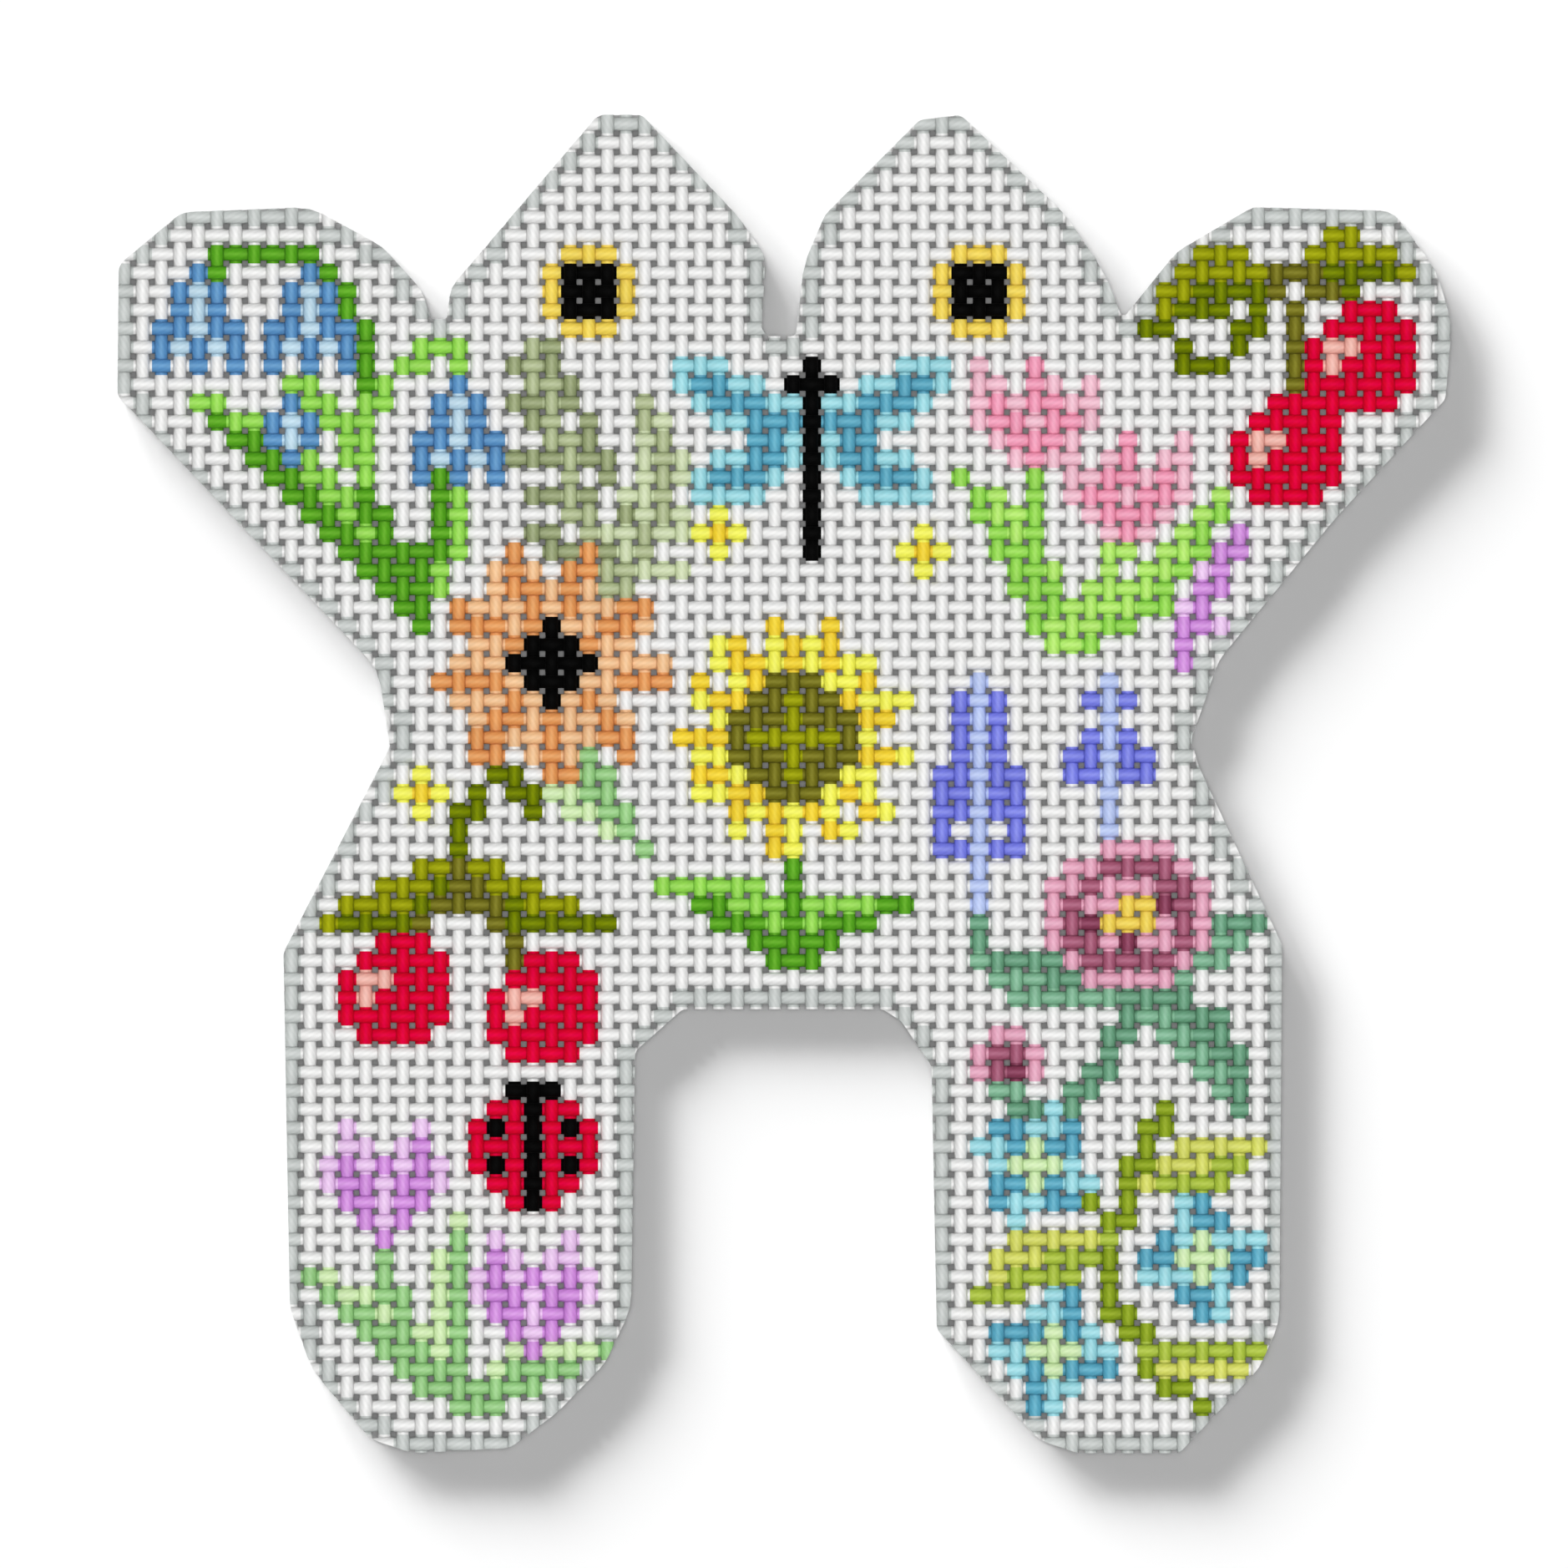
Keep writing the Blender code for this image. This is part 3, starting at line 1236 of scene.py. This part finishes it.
@dataclass
class ThreadCorners:
    """The corners of a thread set's faces, measured on their threads as if all ran along X.

    Face, along, aside and height have a value for each corner, and thread, centre, normal and is_cut one
    for each face. Face is the number of the corner's face, along is in pitches from the sheet's edge,
    aside and height run from -1 to 1 over the section, and thread is the thread's number. A cut face is
    one whose normal leans up or down by no more than cut_lean. It is a thread's end if its normal also
    points aside by less than end_aside.
    """

    weave: PlainWeave
    turn: float
    face: np.ndarray
    along: np.ndarray
    aside: np.ndarray
    height: np.ndarray
    thread: np.ndarray
    centre: np.ndarray
    normal: np.ndarray
    is_cut: np.ndarray
    cut_lean: float = 1e-4
    end_aside: float = 0.9
    seam: float = math.radians(270)
    map_margin: float = 1.0
    map_gap: float = 0.35
    map_end_half_length: float = 0.2
    map_end_half_width: float = 0.48

    @classmethod
    def of(cls, mesh: bpy.types.Mesh, threads: ThreadSet) -> "ThreadCorners":
        """Measure a mesh.

        Args:
            mesh: The cut threads.
            threads: The set that they belong to.

        Returns:
            The measured corners.
        """
        weave = threads.weave
        counts = read_values(mesh.polygons, "loop_total", np.int32)
        face = np.repeat(np.arange(len(counts)), counts)
        cosine, sine = math.cos(threads.turn), math.sin(threads.turn)
        straighten = np.array(((cosine, -sine, 0), (sine, cosine, 0), (0, 0, 1)))
        points = read_values(mesh.vertices, "co", np.float32, 3).astype(float) @ straighten
        normals = read_values(mesh.polygons, "normal", np.float32, 3).astype(float) @ straighten
        corner = points[read_values(mesh.loops, "vertex_index", np.int32)]
        centre = np.stack([np.bincount(face, column) / counts for column in corner.T], 1)
        thread = np.floor(centre[:, 1] / weave.pitch) + 0.5
        along = corner[:, 0] / weave.pitch
        cosines = np.cos(np.pi * (along - thread[face]))
        line = threads.panel.middle_height + weave.crimp * weave.wave(cosines)
        half_width = weave.thread_width / 2 * weave.width_left(cosines)
        return cls(
            weave=weave,
            turn=threads.turn,
            face=face,
            along=along + weave.thread_count / 2,
            aside=(corner[:, 1] - thread[face] * weave.pitch) / half_width,
            height=np.clip((corner[:, 2] - line) / (weave.thread_thickness / 2), -1.0, 1.0),
            thread=thread + (weave.thread_count - 1) / 2,
            centre=centre,
            normal=normals,
            is_cut=np.abs(normals[:, 2]) < cls.cut_lean,
        )

    def cells(self) -> tuple[np.ndarray, np.ndarray]:
        """Find the crossing that each face belongs to.

        Returns:
            The faces' rows and their columns on the chart.
        """
        cosine, sine = math.cos(self.turn), math.sin(self.turn)
        across = self.centre[:, 0] * cosine - self.centre[:, 1] * sine
        up = self.centre[:, 0] * sine + self.centre[:, 1] * cosine
        half = self.weave.thread_count / 2
        last = self.weave.thread_count - 1
        rows = np.clip(np.floor(half - up / self.weave.pitch), 0, last).astype(int)
        columns = np.clip(np.floor(half + across / self.weave.pitch), 0, last).astype(int)
        return rows, columns

    def around(self) -> np.ndarray:
        """Measure how far round its thread's section each corner is.

        Returns:
            The share of the way, from 0 at the seam on the underside to 1 at the same seam.
        """
        angle = (np.arctan2(self.height, self.aside) - self.seam) / math.tau
        east, north = (
            np.bincount(self.face, component(math.tau * angle)) for component in (np.cos, np.sin)
        )
        cut_angle = (np.where(self.normal[:, 1] > 0, 0.0, math.pi) - self.seam) / math.tau
        face_angle = np.where(self.is_cut, cut_angle, np.arctan2(north, east) / math.tau) % 1.0
        turned = (angle - face_angle[self.face] + 0.5) % 1.0 - 0.5
        return np.clip(face_angle[self.face] + turned, 0.0, 1.0)

    def thread_places(self) -> np.ndarray:
        """Return each corner's distance along its thread in metres, its share round it and its thread."""
        return np.stack([self.along * self.weave.pitch, self.around(), self.thread[self.face]], 1)

    def map_places(self) -> np.ndarray:
        """Lay every thread out as a strip of the bake's map, with the ends of cut threads beyond them.

        Returns:
            Each corner's place on the map.
        """
        ends = (self.is_cut & (np.abs(self.normal[:, 1]) < self.end_aside))[self.face]
        outward = np.sign(self.normal[:, 0])[self.face]
        beyond = outward * (self.map_gap + self.map_end_half_length * (self.height + 1))
        along = self.along + np.where(ends, beyond, 0.0)
        over_end = 0.5 - self.map_end_half_width * np.clip(self.aside, -1, 1)
        across = self.thread[self.face] + np.where(ends, over_end, self.around())
        count = self.weave.thread_count
        return np.stack([(along + self.map_margin) / (count + 2 * self.map_margin), across / count], 1)


@dataclass(frozen=True)
class Studio:
    """A pale table, soft light from above and a camera straight above the panel, as in the photograph.

    The broad overhead light leaves the floor out, and the low suns light the floor alone, where they
    throw the long soft shadow.
    """

    panel: CutPanel
    frame_width: float
    lens: float = 500.0
    sensor: float = 36.0
    floor_size: float = 12.0
    floor_colour: str = "F8F8F8"
    # Painted shade: a grey card under the panel stands for the shade in its holes, and the floor lies that
    # far below the panel.
    shade_card_colour: str = "B4B4B4"
    shade_card_height: float = 0.05 * MM
    paper_roughness: float = 0.95
    room_light: float = 0.27
    overhead_height: float = 2.6
    overhead_size: float = 1.6
    overhead_power: float = 13.0
    cloth_light_size: float = 4.0
    cloth_power: float = 77.0
    low_sun_power: float = 13.1
    shadow_side: Place = (-0.62, 0.78)
    shadow_elevation: float = math.radians(9.2)
    shadow_softness: float = math.radians(12.0)
    low_sun_shares: tuple[float, ...] = (0.0625, 0.25, 0.375, 0.25, 0.0625)
    low_sun_spacing: float = 0.21

    def set_up(self) -> None:
        """Make the floor, the grey card of painted shade, the lights and the camera."""
        floor = self.make_floor()
        self.lay_shade_card()
        self.light_room()
        self.light_cloth(floor)
        self.light_floor(floor)
        self.make_camera()
        bpy.context.scene.view_settings.view_transform = "Standard"

    def make_floor(self) -> bpy.types.Object:
        """Lay a floor of matt white paper under the panel, which takes soft shadows and has no gloss.

        Returns:
            The floor.
        """
        half = self.floor_size / 2
        corners = [(-half, -half, 0), (half, -half, 0), (half, half, 0), (-half, half, 0)]
        mesh = bpy.data.meshes.new("floor")
        mesh.from_pydata(corners, [], [(0, 1, 2, 3)])
        floor = bpy.data.objects.new("floor", mesh)
        floor.location.z = self.panel.low.z - self.shade_card_height
        self.stage(floor, "matt_white_paper", self.floor_colour)
        return floor

    def lay_shade_card(self) -> None:
        """Lay a grey card of the panel's shape under it, so that all the holes show one grey: painted shade
        in the holes.
        """
        mesh = self.panel.closed_mesh()
        mesh.name = "shade_card"
        sheet = bmesh.new()
        sheet.from_mesh(mesh)
        all_but_underside = [face for face in sheet.faces if face.normal.z > -0.5]
        bmesh.ops.delete(sheet, geom=all_but_underside, context="FACES")
        bmesh.ops.reverse_faces(sheet, faces=sheet.faces)
        sheet.to_mesh(mesh)
        sheet.free()
        mesh.materials.clear()
        self.stage(bpy.data.objects.new("shade_card", mesh), "matt_shade_card", self.shade_card_colour)

    def stage(self, thing: bpy.types.Object, material_name: str, hex_colour: str) -> None:
        """Put a thing of matt paper in the scene that isn't part of the object.

        Args:
            thing: The floor or the grey card of painted shade.
            material_name: The name of its material.
            hex_colour: Its colour.
        """
        material = bpy.data.materials.new(material_name)
        material.use_nodes = True
        looks = {
            "Base Color": linear_colour(hex_colour),
            "Roughness": self.paper_roughness,
            "Specular IOR Level": 0.0,
        }
        feed(material.node_tree, material.node_tree.nodes["Principled BSDF"], looks)
        thing.data.materials.append(material)
        bpy.context.scene.collection.objects.link(thing)

    def light_room(self) -> None:
        """Fill the room with a little even white light."""
        world = bpy.data.worlds.new("studio")
        world.use_nodes = True
        light = {"Color": (1.0, 1.0, 1.0, 1.0), "Strength": self.room_light}
        feed(world.node_tree, world.node_tree.nodes["Background"], light)
        bpy.context.scene.world = world

    def light_cloth(self, floor: bpy.types.Object) -> None:
        """Light the cloth from straight above, so that both thread sets show alike.

        Args:
            floor: The floor, which takes only the smaller of the two lights.
        """
        self.hang_light("overhead_on_all", self.overhead_size, self.overhead_power)
        broad = self.hang_light("overhead_on_cloth", self.cloth_light_size, self.cloth_power)
        broad.light_linking.receiver_collection = self.receivers("all_but_floor", floor, "EXCLUDE")

    def light_floor(self, floor: bpy.types.Object) -> None:
        """Light the floor from low down, by a fan of suns that make one soft shadow.

        Args:
            floor: The floor, which alone takes their light.
        """
        floor_alone = self.receivers("lit_from_low", floor, "INCLUDE")
        for number, share in enumerate(self.low_sun_shares):
            low_sun = bpy.data.lights.new("low_sun", "SUN")
            low_sun.angle = self.shadow_softness
            low_sun.energy = self.low_sun_power * share
            towards = Vector((*self.shadow_side, math.tan(self.shadow_elevation)))
            turn = (number - (len(self.low_sun_shares) - 1) / 2) * self.low_sun_spacing
            towards.rotate(Quaternion((0, 0, 1), turn))
            self.place_light(low_sun, towards).light_linking.receiver_collection = floor_alone

    def hang_light(self, name: str, size: float, power: float) -> bpy.types.Object:
        """Hang a square light straight above the panel.

        Args:
            name: The light's name.
            size: The length of its sides.
            power: Its power in watts.

        Returns:
            The light's object.
        """
        light = bpy.data.lights.new(name, "AREA")
        light.size = size
        light.energy = power
        return self.place_light(light, Vector((0.0, 0.0, self.overhead_height)))

    def place_light(self, light: bpy.types.Light, place: Vector) -> bpy.types.Object:
        """Put a light in the scene, facing the panel.

        Args:
            light: The light.
            place: Where it stands.

        Returns:
            The light's object.
        """
        lamp = bpy.data.objects.new(light.name, light)
        lamp.location = place
        lamp.rotation_euler = place.to_track_quat("Z", "Y").to_euler()
        bpy.context.scene.collection.objects.link(lamp)
        return lamp

    def receivers(self, name: str, floor: bpy.types.Object, state: str) -> bpy.types.Collection:
        """Make a list of what a light falls on, with the floor in it or left out of it.

        Args:
            name: The list's name.
            floor: The floor.
            state: INCLUDE for the floor alone, or EXCLUDE for all but the floor.

        Returns:
            The list, as a collection that isn't in the scene.
        """
        things = bpy.data.collections.new(name)
        things.objects.link(floor)
        things.collection_objects[0].light_linking.link_state = state
        return things

    def make_camera(self) -> None:
        """Point a long lens straight down, so that the frame's width is filled as in the photograph."""
        camera = bpy.data.cameras.new("camera")
        camera.lens = self.lens
        camera.sensor_width = self.sensor
        distance = self.frame_width * self.lens / self.sensor
        camera.clip_end = 2 * distance
        viewer = bpy.data.objects.new("camera", camera)
        viewer.location.z = self.panel.low.z + self.panel.size.z + distance
        bpy.context.scene.collection.objects.link(viewer)
        bpy.context.scene.camera = viewer


def main() -> None:
    """Build the studio, the design and both sets of threads, and report each."""
    logging.basicConfig(level=logging.INFO, format="%(name)s: %(message)s")
    panel = CutPanel()
    weave = PlainWeave(pitch=panel.size.y / THREADS_EACH_WAY, sheet_thickness=panel.size.z)
    Studio(panel, frame_width=PHOTO_WIDTH_IN_PITCHES * weave.pitch).set_up()
    log.info("studio: set up")
    design = PaintedDesign()
    design.draw_all(panel.crossings_inside(weave))
    log.info("design: %d painted crossings", len(design.chart))
    tree = WeaveTree()
    finish = PaintedCottonFinish(weave.pitch).material()
    for name, turn, seed in (("weft_threads", 0.0, 3), ("warp_threads", math.pi / 2, 8)):
        piece = ThreadSet(name, turn, seed, panel, weave).build(tree, finish, design)
        triangles = sum(len(face.vertices) - 2 for face in piece.data.polygons)
        log.info("%s: %d faces, %d triangles", name, len(piece.data.polygons), triangles)


if __name__ == "__main__":
    main()
